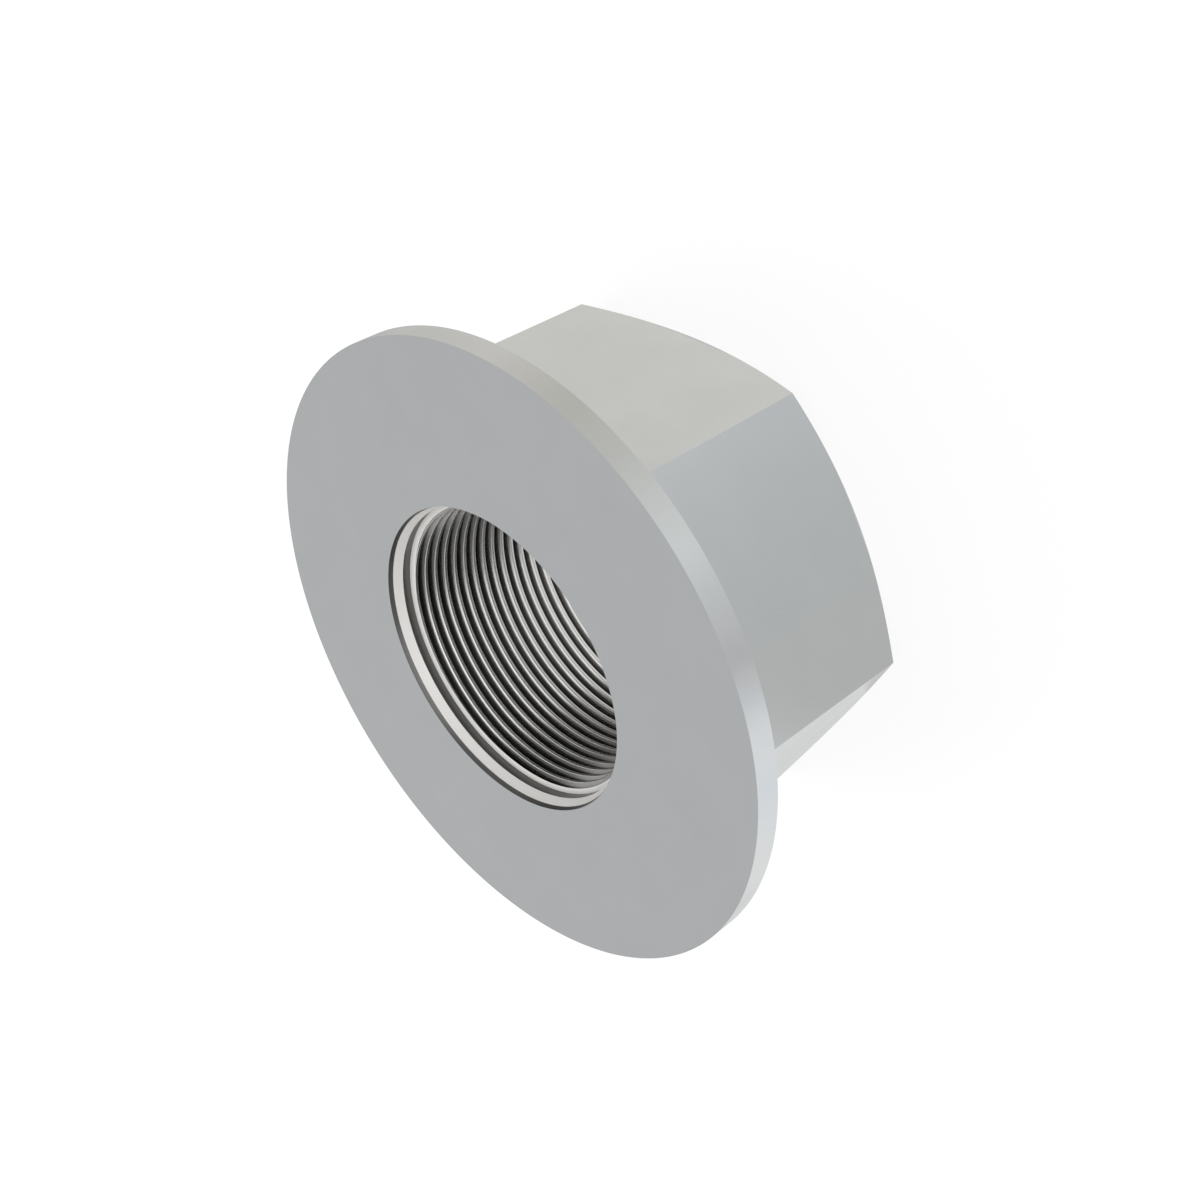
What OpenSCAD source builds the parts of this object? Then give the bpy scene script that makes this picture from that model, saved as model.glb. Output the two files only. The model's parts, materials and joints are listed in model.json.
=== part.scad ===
// Hex flange nut, one solid. It stands on the foot of its hexagon with the bearing face up.
// The origin is the centre of the foot, +Z runs along the thread axis and out of the
// bearing face, and +X runs through a corner of the hexagon.

/* [Thread] */
// Nominal diameter of the thread
thread_d = 36; // [30:0.5:42]
// Pitch of the thread
thread_pitch = 1.5; // [1:0.25:3]

/* [Hexagon] */
// Width across the flats
across_flats = 55; // [50:0.5:65]
// Height from the foot of the hexagon to the bearing face
nut_h = 32.4; // [20:0.1:50]
// How far inside the flats the corner chamfer starts on the foot
chamfer_inset = 0.1; // [0.05:0.05:2]
// Angle between the corner chamfer and the foot
chamfer_angle = 30; // [15:1:40]

/* [Flange] */
// How far the flange stands out past the flats
flange_reach = 10.35; // [6:0.05:20]
// Height of the flange's rim
rim_h = 3; // [1:0.1:6]
// Break on both edges of the rim
rim_break = 0.15; // [0.05:0.05:0.4]
// Slope of the flange's back, between the rim and the hexagon
back_slope = 15; // [0:1:25]

/* [Mouth of the hole] */
// Break round the edge of the mouth
mouth_break = 0.15; // [0.05:0.05:0.4]
// Clearance of the counterbore round the thread's nominal diameter, on each side
counterbore_clearance = 0.5; // [0.1:0.05:1.5]
// Depth of the counterbore
counterbore_h = 0.6; // [0.5:0.05:2]
// Clearance of the narrow end of the lead-in taper round the nominal diameter, on each side
lead_clearance = 0.05; // [0.05:0.05:0.4]
// Height of the lead-in taper
lead_h = 1.1; // [0.3:0.05:3]
// Clearance of the run-out groove round the nominal diameter, on each side
groove_clearance = 0.15; // [0.1:0.05:1.5]
// Height of the run-out groove, from the taper to the shoulder where the thread starts
groove_h = 1.15; // [0.3:0.05:3]

/* [Countersink in the foot] */
// Radial width of the countersink past the thread's nominal diameter
countersink_w = 0.75; // [0.1:0.05:2]
// Included angle of the countersink
countersink_angle = 90; // [60:5:120]

/* [Hidden] */
$fn = 96;

// How far a cut runs past the face that it opens
past = 1;

// An internal thread's crests lie five eighths of the sharp thread height inside its
// nominal diameter. The plain bore is drilled to those crests.
sharp_thread_h = thread_pitch * sqrt(3) / 2;
bore_r = thread_d / 2 - sharp_thread_h * 5 / 8;

// The hexagon and the cone that chamfers its corners
flat_r = across_flats / 2;
corner_r = flat_r / cos(30);
foot_r = flat_r - chamfer_inset;
chamfer_end_r = corner_r + past;
chamfer_end_z = (chamfer_end_r - foot_r) * tan(chamfer_angle);

// The flange's rim, and the height at which its back meets the core inside the hexagon
flange_r = flat_r + flange_reach;
rim_z = nut_h - rim_h;
back_r = flange_r - rim_break;
counterbore_r = thread_d / 2 + counterbore_clearance;
core_z = rim_z - (back_r - counterbore_r) * tan(back_slope);

// The steps of the hole, from the foot up
countersink_r = thread_d / 2 + countersink_w;
countersink_slope = tan(countersink_angle / 2);
countersink_h = (countersink_r - bore_r) / countersink_slope;
lead_r = thread_d / 2 + lead_clearance;
groove_r = thread_d / 2 + groove_clearance;
lead_top_z = nut_h - counterbore_h;
groove_top_z = lead_top_z - lead_h;
shoulder_z = groove_top_z - groove_h;

// Hexagon bar with its corners turned off at the foot. Its upper end is inside the flange.
module hexagon() {
    intersection() {
        cylinder(h = nut_h - rim_h / 2, r = corner_r, $fn = 6);
        rotate_extrude()
            polygon([
                [0, 0],
                [foot_r, 0],
                [chamfer_end_r, chamfer_end_z],
                [chamfer_end_r, nut_h],
                [0, nut_h]
            ]);
    }
}

// Turned flange: flat bearing face, upright rim and a back that slopes from the rim to the hexagon.
module flange() {
    rotate_extrude()
        polygon([
            [0, nut_h],
            [0, core_z],
            [counterbore_r, core_z],
            [back_r, rim_z],
            [flange_r, rim_z + rim_break],
            [flange_r, nut_h - rim_break],
            [flange_r - rim_break, nut_h]
        ]);
}

// Everything that is bored out: the countersink, the bore that carries the thread, the flat
// shoulder, the run-out groove, the lead-in taper and the counterbore with its broken edge.
module stepped_hole() {
    rotate_extrude()
        polygon([
            [0, -past],
            [countersink_r + past * countersink_slope, -past],
            [bore_r, countersink_h],
            [bore_r, shoulder_z],
            [groove_r, shoulder_z],
            [groove_r, groove_top_z],
            [lead_r, groove_top_z],
            [counterbore_r, lead_top_z],
            [counterbore_r, nut_h - mouth_break],
            [counterbore_r + mouth_break + past, nut_h + past],
            [0, nut_h + past]
        ]);
}

module flange_nut() {
    color("silver")
        difference() {
            union() {
                hexagon();
                flange();
            }
            stepped_hole();
        }
}

flange_nut();
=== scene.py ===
import json
import math

import bmesh
import bpy
from mathutils import Matrix, Vector


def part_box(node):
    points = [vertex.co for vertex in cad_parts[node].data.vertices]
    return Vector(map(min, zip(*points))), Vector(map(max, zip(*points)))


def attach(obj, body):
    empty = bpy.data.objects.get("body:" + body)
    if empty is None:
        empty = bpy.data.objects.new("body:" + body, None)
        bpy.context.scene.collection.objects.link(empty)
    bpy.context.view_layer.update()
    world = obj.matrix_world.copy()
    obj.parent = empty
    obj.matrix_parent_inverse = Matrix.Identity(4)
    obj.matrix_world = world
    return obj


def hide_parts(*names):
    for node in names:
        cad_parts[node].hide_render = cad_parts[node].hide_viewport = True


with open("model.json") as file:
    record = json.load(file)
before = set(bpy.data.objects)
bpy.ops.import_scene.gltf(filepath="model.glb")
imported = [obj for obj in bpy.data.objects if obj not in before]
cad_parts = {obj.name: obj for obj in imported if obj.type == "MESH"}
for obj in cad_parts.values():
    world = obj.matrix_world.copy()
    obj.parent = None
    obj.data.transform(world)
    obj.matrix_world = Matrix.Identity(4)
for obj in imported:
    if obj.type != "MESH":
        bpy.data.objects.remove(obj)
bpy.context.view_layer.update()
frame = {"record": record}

# Blank
# The nut starts as a piece of hexagon bar steel. One end is turned into a wide thin flange with
# a flat bearing face and a stepped mouth, and the corners are chamfered at the other end.
mm = 0.001
foot, bearing_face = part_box("flange_nut")
nut_h = bearing_face.z - foot.z
flange_r = (bearing_face.x - foot.x) / 2
flat_r = 27.5 * mm
rim_h = 3 * mm
rim_z = nut_h - rim_h
back_slope = math.radians(15)
foot_r = 27.4 * mm
chamfer_angle = math.radians(30)
edge_break = 0.05 * mm
counterbore_r = 18.5 * mm
counterbore_h = 0.6 * mm
mouth_break = 0.15 * mm
lead_r = 18.05 * mm
lead_h = 1.1 * mm
groove_r = 18.15 * mm
groove_top_z = nut_h - counterbore_h - lead_h
thread_mount = next(mount for mount in frame["record"]["mounts"] if mount["name"] == "thread")
thread_mid_z = thread_mount["pos_m"][2]
thread_length = thread_mount["dims"]["length_mm"] * mm
shoulder_z = thread_mid_z + thread_length / 2
steps_per_turn = 240
TURNED, DRAWN, PAINTED_LIGHT_MOUTH, PAINTED_LIGHT_SHOULDER, PAINTED_SHADE_WALLS, TAPPED = range(6)


def hexagon_r(angle):
    """Distance from the axis to the outline of the bar, which has a corner at angle 0."""
    return flat_r / math.cos(angle % math.radians(60) - math.radians(30))


def draw_ring(mesh, ring, radius_at, height_at, finish):
    """Extrudes a ring of edges to a new radius, a rule of the angle, and height, a rule of the radius."""
    drawn = bmesh.ops.extrude_edge_only(mesh, edges=ring)["geom"]
    for part in drawn:
        if isinstance(part, bmesh.types.BMVert):
            angle = math.atan2(part.co.y, part.co.x)
            radius = radius_at(angle)
            part.co = (radius * math.cos(angle), radius * math.sin(angle), height_at(radius))
        if isinstance(part, bmesh.types.BMFace):
            part.material_index = finish
    return [edge for edge in drawn if isinstance(edge, bmesh.types.BMEdge) and edge.is_boundary]


nut = bmesh.new()
turned_section = [
    (groove_r, shoulder_z),
    (groove_r, groove_top_z),
    (lead_r, groove_top_z),
    (counterbore_r, nut_h - counterbore_h),
    (counterbore_r + mouth_break, nut_h),
    (flange_r, nut_h),
    (flange_r, rim_z),
]
section_points = [nut.verts.new((radius, 0, height)) for radius, height in turned_section]
section_lines = [nut.edges.new(pair) for pair in zip(section_points, section_points[1:])]
bmesh.ops.spin(
    nut,
    geom=section_points + section_lines,
    cent=(0, 0, 0),
    axis=(0, 0, 1),
    angle=math.tau,
    steps=steps_per_turn,
    use_merge=True,
)
# The upright walls of the mouth are painted dark grey as painted shade, and its ledges and its taper,
# which face up, are painted pale as painted light.
wall_lean = 0.3
for face in nut.faces:
    if face.calc_center_median().xy.length < counterbore_r + mouth_break:
        face.material_index = PAINTED_SHADE_WALLS if abs(face.normal.z) < wall_lean else PAINTED_LIGHT_MOUTH
ring = [edge for edge in nut.edges if edge.is_boundary and edge.verts[0].co.xy.length > flat_r]
ring = draw_ring(
    nut, ring, hexagon_r, lambda radius: rim_z - (flange_r - radius) * math.tan(back_slope), TURNED
)
ring = draw_ring(
    nut, ring, hexagon_r, lambda radius: (radius - foot_r) * math.tan(chamfer_angle), DRAWN
)
draw_ring(nut, ring, lambda angle: foot_r, lambda radius: 0, TURNED)
bmesh.ops.recalc_face_normals(nut, faces=nut.faces)
# The corners of the hexagon and the back edge of the rim are broken. The other edges stay crisp.
sharp_angle = math.radians(20)
broken_edges = [
    edge
    for edge in nut.edges
    if not edge.is_boundary
    and edge.is_convex
    and edge.calc_face_angle() > sharp_angle
    and edge.verts[0].co.xy.length > flat_r - edge_break
    and rim_h < (edge.verts[0].co.z + edge.verts[1].co.z) / 2 < nut_h - edge_break
]
bmesh.ops.bevel(
    nut,
    geom=broken_edges,
    offset=edge_break,
    segments=2,
    profile=0.5,
    affect="EDGES",
    clamp_overlap=True,
    material=-1,
)

# Thread
# A right-hand metric fine thread, M36 x 1.5, is tapped through the bore after the mouth and the
# countersink are cut, so its groove opens into the flat shoulder and into the countersink.
pitch = 1.5 * mm
crest_r = thread_mount["dims"]["r_mm"] * mm
root_r = 18 * mm
countersink_r = 18.75 * mm
countersink_h = thread_mid_z - thread_length / 2
crest_w = pitch / 4
root_w = pitch / 8
flank_w = (pitch - crest_w - root_w) / 2
flank_angle = math.atan2(root_r - crest_r, flank_w)
round_r = 0.12 * mm
round_z = crest_w - round_r * math.tan(flank_angle / 2)
round_steps = 3
round_angles = [flank_angle * step / round_steps for step in range(round_steps + 1)]
weld_gap = 0.001 * mm
# Where the first crest comes up to the shoulder, and the start of the turns, below the foot
first_crest_azimuth = 115
first_crest_z = (shoulder_z - pitch * first_crest_azimuth / 360) % pitch - 2 * pitch - crest_w
turns = math.ceil((shoulder_z - first_crest_z) / pitch)
thread_profile = [
    (crest_r, 0),
    *((crest_r + round_r * (1 - math.cos(a)), round_z + round_r * math.sin(a)) for a in round_angles),
    (root_r, crest_w + flank_w),
    (root_r, crest_w + flank_w + root_w),
    (crest_r, pitch),
]
thread = bmesh.new()
profile_points = [thread.verts.new((radius, 0, first_crest_z + z)) for radius, z in thread_profile]
profile_lines = [thread.edges.new(pair) for pair in zip(profile_points, profile_points[1:])]
bmesh.ops.spin(
    thread,
    geom=profile_points + profile_lines,
    cent=(0, 0, 0),
    axis=(0, 0, 1),
    dvec=(0, 0, pitch / steps_per_turn),
    angle=math.tau,
    steps=steps_per_turn,
)
one_turn = thread.verts[:] + thread.edges[:] + thread.faces[:]
for turn in range(1, turns):
    copied = bmesh.ops.duplicate(thread, geom=one_turn)["geom"]
    points = [part for part in copied if isinstance(part, bmesh.types.BMVert)]
    bmesh.ops.translate(thread, verts=points, vec=(0, 0, turn * pitch))
bmesh.ops.remove_doubles(thread, verts=thread.verts, dist=weld_gap)
for point in thread.verts:
    cone_r = countersink_r - point.co.z / countersink_h * (countersink_r - crest_r)
    if point.co.xy.length < cone_r:
        point.co.xy = point.co.xy.normalized() * cone_r
for cut_z, cut_normal in ((shoulder_z, 1), (0, -1)):
    bmesh.ops.bisect_plane(
        thread,
        geom=thread.verts[:] + thread.edges[:] + thread.faces[:],
        dist=weld_gap / 10,
        plane_co=(0, 0, cut_z),
        plane_no=(0, 0, cut_normal),
        clear_outer=True,
    )
for face in thread.faces:
    face.material_index = TAPPED
thread_mesh = bpy.data.meshes.new("thread")
thread.to_mesh(thread_mesh)
thread.free()
nut.from_mesh(thread_mesh)
bpy.data.meshes.remove(thread_mesh)
for flat_z, finish in ((shoulder_z, PAINTED_LIGHT_SHOULDER), (0, TURNED)):
    rims = [
        edge
        for edge in nut.edges
        if edge.is_boundary and all(abs(end.co.z - flat_z) < weld_gap * 10 for end in edge.verts)
    ]
    for face in bmesh.ops.bridge_loops(nut, edges=rims)["faces"]:
        face.material_index = finish
bmesh.ops.recalc_face_normals(nut, faces=nut.faces)
# The rounded crests are shaded as one curve, and every edge outside stays crisp.
crease_angle = math.radians(10)
thread_crease_angle = math.radians(22)
for face in nut.faces:
    face.smooth = True
for edge in nut.edges:
    on_thread = all(face.material_index == TAPPED for face in edge.link_faces)
    edge.smooth = edge.calc_face_angle(0) < (thread_crease_angle if on_thread else crease_angle)
nut_mesh = bpy.data.meshes.new("threaded_nut")
nut.to_mesh(nut_mesh)
nut.free()
threaded_nut = bpy.data.objects.new("threaded_nut", nut_mesh)
bpy.context.scene.collection.objects.link(threaded_nut)
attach(threaded_nut, "root")
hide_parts("flange_nut")

# Finish
# Machined steel with a thin bright zinc plating: a pale, faintly blue grey metal with a satin
# gloss. The lathe, the drawing die, the boring tool and the tap each leave it a gloss of its own. The
# mouth and the thread also carry painted light and shade in their colours.


def linear(colour):
    """A linear colour from an sRGB hex value."""
    channels = [int(colour[i : i + 2], 16) / 255 for i in (1, 3, 5)]
    return [c / 12.92 if c <= 0.04045 else ((c + 0.055) / 1.055) ** 2.4 for c in channels] + [1]


def add_node(tree, kind, inputs, stops=(), **settings):
    """Adds a node with its settings. Each input is a value, or another node's output to link.

    The stops of a colour ramp are places and colours, from its first end to its last.
    """
    made = tree.nodes.new(kind)
    for name, value in settings.items():
        setattr(made, name, value)
    if stops:
        made.color_ramp.elements[0].color = stops[0][1]
        made.color_ramp.elements[1].color = stops[-1][1]
    for stop, colour in stops[1:-1]:
        made.color_ramp.elements.new(stop).color = colour
    for socket, value in inputs.items():
        if isinstance(value, bpy.types.NodeSocket):
            tree.links.new(value, made.inputs[socket])
        else:
            made.inputs[socket].default_value = value
    return made


def bare_metal(name):
    """Gives the nut a metal, and returns its nodes, its shader and the place that its marks follow."""
    made = bpy.data.materials.new(name)
    made.use_nodes = True
    nut_mesh.materials.append(made)
    tree = made.node_tree
    shader = tree.nodes["Principled BSDF"]
    shader.inputs["Metallic"].default_value = 1
    place = add_node(tree, "ShaderNodeTexCoord", {}).outputs["Object"]
    return tree, shader, place


def clouded_steel(name, colour, cloud_colour, roughness):
    """Steel with faint clouds in its colour and its gloss, as plating and handling leave them."""
    tree, shader, place = bare_metal(name)
    cloud_size = 6 * mm
    gloss_spread = 0.03
    clouds = add_node(
        tree, "ShaderNodeTexNoise", {"Vector": place, "Scale": 1 / cloud_size, "Detail": 3}
    ).outputs["Fac"]
    tint = add_node(
        tree,
        "ShaderNodeMix",
        {"Factor": clouds, "A": linear(colour), "B": linear(cloud_colour)},
        data_type="RGBA",
    )
    tree.links.new(tint.outputs["Result"], shader.inputs["Base Color"])
    gloss = add_node(
        tree,
        "ShaderNodeMapRange",
        {"Value": clouds, "To Min": roughness - gloss_spread, "To Max": roughness + gloss_spread},
    )
    tree.links.new(gloss.outputs["Result"], shader.inputs["Roughness"])


# The lathe's fine feed leaves the flange and the foot an even satin grey.
clouded_steel("zinc_plated_turned_steel", "#C8CACB", "#C1C4C5", 0.22)
# The drawing die leaves the flats the same grey, a little softer in what they mirror.
clouded_steel("zinc_plated_drawn_steel", "#C8CACB", "#C1C4C5", 0.26)
# The taper and the ledge of the mouth, which face up, are painted almost white as painted light, with a
# rough gloss that leaves hardly a reflection.
clouded_steel("bored_steel_painted_light", "#FAF9F7", "#F6F5F3", 0.75)
# The shoulder, which faces up, is painted as pale as painted light, and its gloss is rougher still, quite
# matt.
clouded_steel("faced_steel_painted_light", "#FAF9F7", "#F6F5F3", 0.95)
# The upright walls of the mouth are painted dark grey as painted shade.
clouded_steel("bored_steel_painted_shade", "#747473", "#6C6C6B", 0.35)
# The edges of the crests are painted near white as a painted highlight, and the flanks are painted darker
# toward the roots as painted shade, so each turn is a thin bright line above a flank that darkens
# inwards.
tree, shader, place = bare_metal("tapped_thread_painted_highlight_and_shade")
across = add_node(
    tree, "ShaderNodeVectorMath", {0: place, 1: (1, 1, 0)}, operation="MULTIPLY"
).outputs["Vector"]
radius = add_node(tree, "ShaderNodeVectorMath", {0: across}, operation="LENGTH").outputs["Value"]
depth = add_node(
    tree, "ShaderNodeMapRange", {"Value": radius, "From Min": crest_r, "From Max": root_r}
).outputs["Result"]
# Share of the depth from crest to root, colour and roughness. The colour is a painted highlight at the
# crest edge and painted shade toward the root.
thread_highlight_and_shade = (
    (0, "#DEDDDB", 0.25),
    (0.003, "#FAF9F7", 0.4),
    (0.05, "#FAF9F7", 0.4),
    (0.08, "#ACABA9", 0.2),
    (0.35, "#ACABA9", 0.2),
    (1, "#585857", 0.2),
)
colours = [(share, linear(colour)) for share, colour, rough in thread_highlight_and_shade]
glosses = [(share, (rough, rough, rough, 1)) for share, colour, rough in thread_highlight_and_shade]
for socket, stops in (("Base Color", colours), ("Roughness", glosses)):
    tone = add_node(tree, "ShaderNodeValToRGB", {"Fac": depth}, stops).outputs["Color"]
    tree.links.new(tone, shader.inputs[socket])

# Floor
# A plain white sheet lies under the nut. The cards on it glow, though they are no lamps, and show in the
# bright metal alone as painted reflections, so that the sides of the nut differ in tone.


def plain_paper(name, colour, shown_to_camera, shown_to_metal):
    """Matt paper. A share of its plain colour shows whatever shades it, and the rest carries shadow."""
    made = bpy.data.materials.new(name)
    made.use_nodes = True
    tree = made.node_tree
    tree.nodes.clear()
    seen_by = add_node(tree, "ShaderNodeLightPath", {})
    camera_share = add_node(
        tree,
        "ShaderNodeMath",
        {0: seen_by.outputs["Is Camera Ray"], 1: shown_to_camera},
        operation="MULTIPLY",
    ).outputs[0]
    plain_share = add_node(
        tree,
        "ShaderNodeMath",
        {0: seen_by.outputs["Is Glossy Ray"], 1: shown_to_metal, 2: camera_share},
        operation="MULTIPLY_ADD",
    ).outputs[0]
    matt = add_node(tree, "ShaderNodeBsdfDiffuse", {"Color": linear(colour)}).outputs[0]
    plain = add_node(tree, "ShaderNodeEmission", {"Color": linear(colour), "Strength": 1}).outputs[0]
    mixed = add_node(tree, "ShaderNodeMixShader", {0: plain_share, 1: matt, 2: plain}).outputs[0]
    add_node(tree, "ShaderNodeOutputMaterial", {"Surface": mixed})
    return made


def graded_reflection_glow(name, level, shades, share_at):
    """A sheet that glows at one level, though it is no lamp, in graded shades for painted reflections. A
    rule gives the share along them at each place.
    """
    made = bpy.data.materials.new(name)
    made.use_nodes = True
    tree = made.node_tree
    tree.nodes.clear()
    place = add_node(tree, "ShaderNodeTexCoord", {}).outputs["Object"]
    stops = [(share, linear(colour)) for share, colour in shades]
    shade = add_node(tree, "ShaderNodeValToRGB", {"Fac": share_at(tree, place)}, stops).outputs["Color"]
    lit = add_node(tree, "ShaderNodeEmission", {"Color": shade, "Strength": level}).outputs[0]
    add_node(tree, "ShaderNodeOutputMaterial", {"Surface": lit})
    return made


def set_down(name, sheet, material):
    """Puts a sheet of paper on the stage."""
    mesh = bpy.data.meshes.new(name)
    sheet.to_mesh(mesh)
    sheet.free()
    mesh.materials.append(material)
    laid = bpy.data.objects.new(name, mesh)
    bpy.context.scene.collection.objects.link(laid)
    return laid


def lay_sheet(name, azimuth, near, far, right, left, height, material):
    """A flat sheet that reaches from near to far along an azimuth, and from right to left across it."""
    sheet = bmesh.new()
    bmesh.ops.create_grid(sheet, x_segments=1, y_segments=1, size=0.5)
    bmesh.ops.scale(sheet, vec=(far - near, left - right, 1), verts=sheet.verts)
    middle = ((near + far) / 2, (right + left) / 2, height)
    bmesh.ops.translate(sheet, vec=middle, verts=sheet.verts)
    turn = Matrix.Rotation(math.radians(azimuth), 3, "Z")
    bmesh.ops.rotate(sheet, cent=(0, 0, 0), matrix=turn, verts=sheet.verts)
    return set_down(name, sheet, material)


def show_to_metal_only(card):
    """Hides a card from the camera and the floor, so that it shows in the bright metal alone as a painted
    reflection.
    """
    card.visible_camera = False
    card.visible_diffuse = False
    card.visible_shadow = False


floor_reach = 4
white_paper = plain_paper("matt_white_paper", "#FFFFFF", shown_to_camera=0.9, shown_to_metal=0.65)
lay_sheet("floor", 0, -floor_reach, floor_reach, -floor_reach, floor_reach, 0, white_paper)
# The white and ivory cards glow in their plain colour as painted reflections in the flats.
# Name, colour and azimuth, then near, far, right, left and height in millimetres
reflection_cards = (
    ("white_card", "#F2F2F2", -90, 27.6, 42, -32, 10, 0.2),
    ("ivory_card", "#FBF9F2", 30, 27.6, 54, -17, 40, 0.2),
)
for name, colour, azimuth, *edges in reflection_cards:
    reflection_card_glow = plain_paper(name + "_paper", colour, shown_to_camera=0, shown_to_metal=1)
    show_to_metal_only(lay_sheet(name, azimuth, *(edge * mm for edge in edges), reflection_card_glow))
# The blue card glows in grey shades graded from right to left, a painted reflection in the flats and rim
# that face it.
blue_card_azimuth = -45
blue_card_shades = ((0, "#DEDEDB"), (0.5, "#DFE0E0"), (1, "#E9EBEC"))
shades_right = -9 * mm
shades_left = 24 * mm


def across_blue_card(tree, place):
    """Share of the way across the blue card's shades, from right to left."""
    to_left = math.radians(blue_card_azimuth + 90)
    across = add_node(
        tree,
        "ShaderNodeVectorMath",
        {0: place, 1: (math.cos(to_left), math.sin(to_left), 0)},
        operation="DOT_PRODUCT",
    ).outputs["Value"]
    return add_node(
        tree, "ShaderNodeMapRange", {"Value": across, "From Min": shades_right, "From Max": shades_left}
    ).outputs["Result"]


blue_reflection_glow = graded_reflection_glow("blue_card_paper", 1, blue_card_shades, across_blue_card)
blue_card = lay_sheet(
    "blue_card", blue_card_azimuth, 24 * mm, 64 * mm, -15 * mm, 26 * mm, 0.25 * mm, blue_reflection_glow
)
show_to_metal_only(blue_card)
# Azimuth and colour round the nut, of the glowing ring that the rim mirrors as a painted reflection
ring_shades = (
    (-180, "#DCDCDC"),
    (-125, "#DEDEDE"),
    (-115, "#F2F2F1"),
    (-100, "#F8F8F7"),
    (-86, "#FAFCFF"),
    (-79, "#F4F7FB"),
    (-72, "#FFFFFF"),
    (-62, "#F7F9FB"),
    (-44, "#CAC8C9"),
    (-15, "#EEF0EF"),
    (16, "#D6D4CE"),
    (30, "#D1CEC7"),
    (58, "#E3DFD9"),
    (95, "#CAC8C5"),
    (115, "#ACAAA7"),
    (180, "#DCDCDC"),
)
ring_level = 1.2
ring_r = 130 * mm
ring_hole_r = 33 * mm
ring_lift = 0.1 * mm


def around_nut(tree, place):
    """Share of a turn about the thread axis."""
    return add_node(
        tree, "ShaderNodeTexGradient", {"Vector": place}, gradient_type="RADIAL"
    ).outputs["Fac"]


ring_sheet = bmesh.new()
bmesh.ops.create_circle(ring_sheet, segments=96, radius=ring_r)
inner = bmesh.ops.extrude_edge_only(ring_sheet, edges=ring_sheet.edges[:])["geom"]
inner = [point for point in inner if isinstance(point, bmesh.types.BMVert)]
bmesh.ops.scale(ring_sheet, vec=(ring_hole_r / ring_r, ring_hole_r / ring_r, 1), verts=inner)
bmesh.ops.translate(ring_sheet, vec=(0, 0, ring_lift), verts=ring_sheet.verts)
turn_shades = [(azimuth / 360 + 0.5, colour) for azimuth, colour in ring_shades]
ring_reflection_glow = graded_reflection_glow("shaded_reflection_glow", ring_level, turn_shades, around_nut)
show_to_metal_only(set_down("painted_reflection_ring", ring_sheet, ring_reflection_glow))

# Light
# A plain white studio, dimmer in two of its corners and a little brighter low on two sides. One
# broad soft box stands low in front of the nut, one hangs overhead, and a lamp lights the floor.


def toward(azimuth, height):
    """A unit vector from an azimuth and a height above the floor, in degrees."""
    turn = Matrix.Rotation(math.radians(azimuth), 3, "Z")
    lift = Matrix.Rotation(math.radians(-height), 3, "Y")
    return turn @ lift @ Vector((1, 0, 0))


def hang_box(name, width, height, level, direction, distance):
    """A soft box that faces the nut from a direction. Its level is how bright it shows in the metal."""
    box = bpy.data.lights.new(name, "AREA")
    box.shape = "RECTANGLE"
    box.size = width
    box.size_y = height
    box.energy = level * math.pi * width * height
    hung = bpy.data.objects.new(name, box)
    hung.rotation_euler = direction.to_track_quat("Z", "Y").to_euler()
    hung.location = direction * distance
    bpy.context.scene.collection.objects.link(hung)


studio = bpy.data.worlds.new("studio")
bpy.context.scene.world = studio
studio.use_nodes = True
tree = studio.node_tree
tree.nodes.clear()
direction = add_node(tree, "ShaderNodeTexCoord", {}).outputs["Generated"]
wall_level = 0.71
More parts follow.
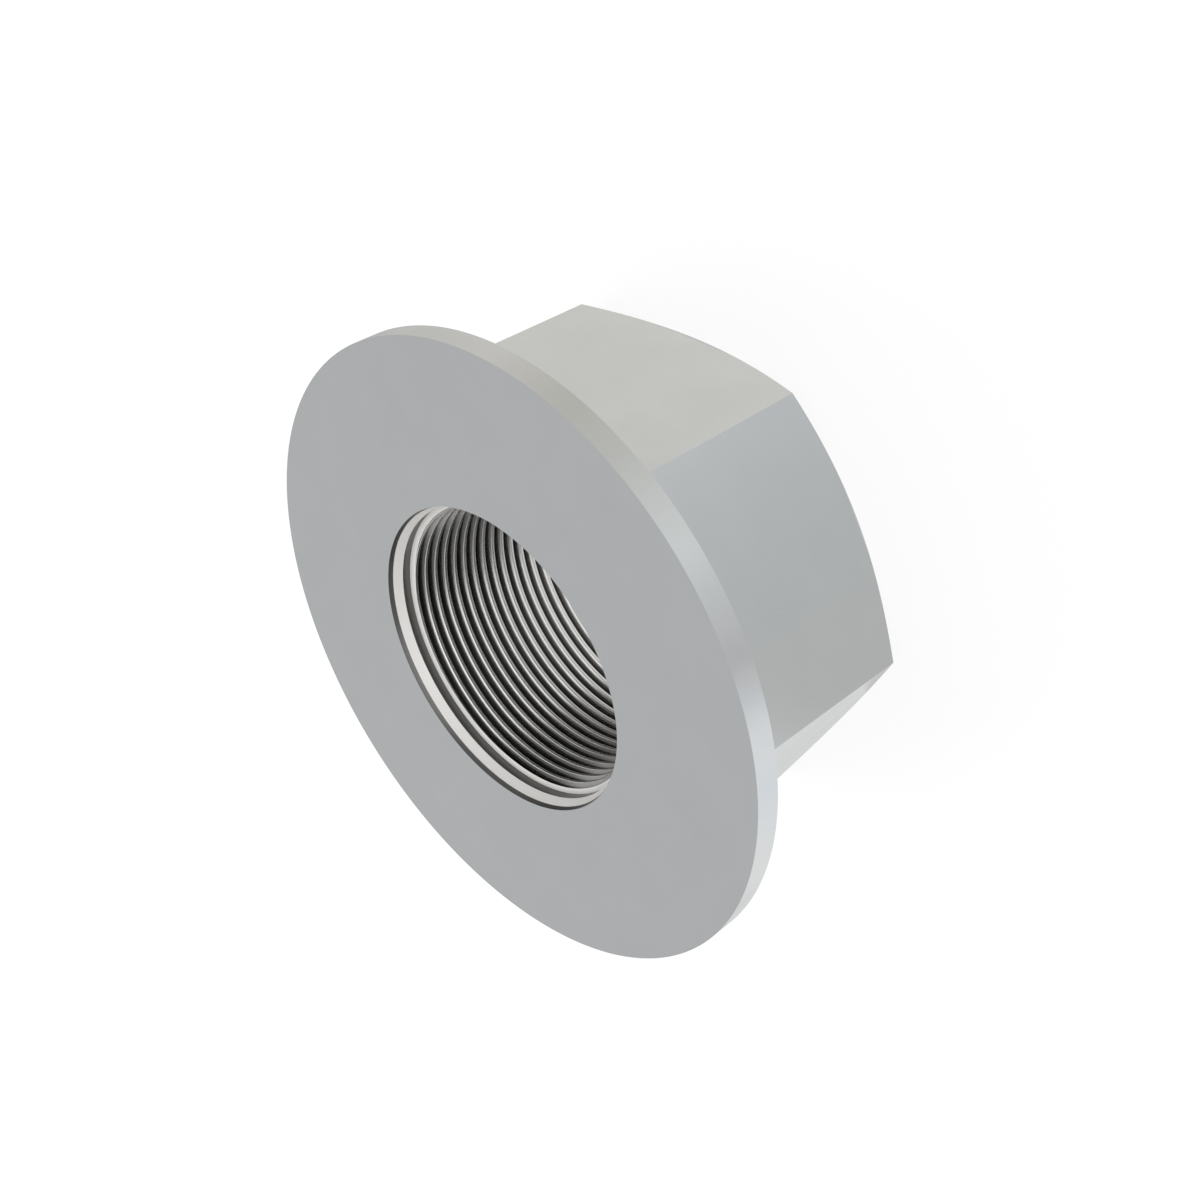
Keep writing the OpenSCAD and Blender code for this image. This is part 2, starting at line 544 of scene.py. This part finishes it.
# Azimuth, height and level of the middle of each patch of wall, and how far off it starts and ends
wall_patches = ((105, 48, 0.22), (222, 48, 0.22), (82, 16, 1), (248, 16, 1))
patch_edge = math.radians(26)
patch_core = math.radians(12)
for azimuth, height, level in wall_patches:
    facing = add_node(
        tree,
        "ShaderNodeVectorMath",
        {0: direction, 1: toward(azimuth, height)},
        operation="DOT_PRODUCT",
    ).outputs["Value"]
    wall_level = add_node(
        tree,
        "ShaderNodeMapRange",
        {
            "Value": facing,
            "From Min": math.cos(patch_edge),
            "From Max": math.cos(patch_core),
            "To Min": wall_level,
            "To Max": level,
        },
        interpolation_type="SMOOTHSTEP",
    ).outputs["Result"]
walls = add_node(
    tree, "ShaderNodeBackground", {"Color": (1, 1, 1, 1), "Strength": wall_level}
).outputs[0]
backdrop = add_node(tree, "ShaderNodeBackground", {"Color": (1, 1, 1, 1), "Strength": 1}).outputs[0]
to_camera = add_node(tree, "ShaderNodeLightPath", {}).outputs["Is Camera Ray"]
seen = add_node(tree, "ShaderNodeMixShader", {0: to_camera, 1: walls, 2: backdrop}).outputs[0]
add_node(tree, "ShaderNodeOutputWorld", {"Surface": seen})
lamp = bpy.data.lights.new("floor_lamp", "SUN")
lamp.energy = 2
lamp.angle = math.radians(40)
floor_lamp = bpy.data.objects.new("floor_lamp", lamp)
floor_lamp.rotation_euler = toward(150, 45).to_track_quat("Z", "Y").to_euler()
floor_lamp.visible_glossy = False
bpy.context.scene.collection.objects.link(floor_lamp)
hang_box("soft_box", 1.2, 0.5, level=1, direction=toward(-30, 14), distance=0.8)
hang_box("overhead_box", 0.9, 0.9, level=1.3, direction=Vector((0, 0, 1)), distance=0.9)
bpy.context.scene.view_settings.view_transform = "Standard"

# Camera
# A 50 mm lens looks at the middle of the nut, down into its mouth. The camera is rolled, so that
# a level direction of the nut is upright in the picture.
view_azimuth = math.radians(-15.03)
view_height = math.radians(34.51)
view_distance = 193.3 * mm
upright_azimuth = math.radians(28.27)
middle = (foot + bearing_face) / 2
back = Vector(
    (
        math.cos(view_azimuth) * math.cos(view_height),
        math.sin(view_azimuth) * math.cos(view_height),
        math.sin(view_height),
    )
)
upright = Vector((math.cos(upright_azimuth), math.sin(upright_azimuth), 0))
right = upright.cross(back).normalized()
camera = bpy.data.cameras.new("camera")
camera.lens = 50
camera.sensor_width = 36
camera.clip_start = 0.01
view = bpy.data.objects.new("camera", camera)
turn = Matrix((right, back.cross(right), back)).transposed().to_4x4()
view.matrix_world = Matrix.Translation(middle + back * view_distance) @ turn
bpy.context.scene.collection.objects.link(view)
bpy.context.scene.camera = view
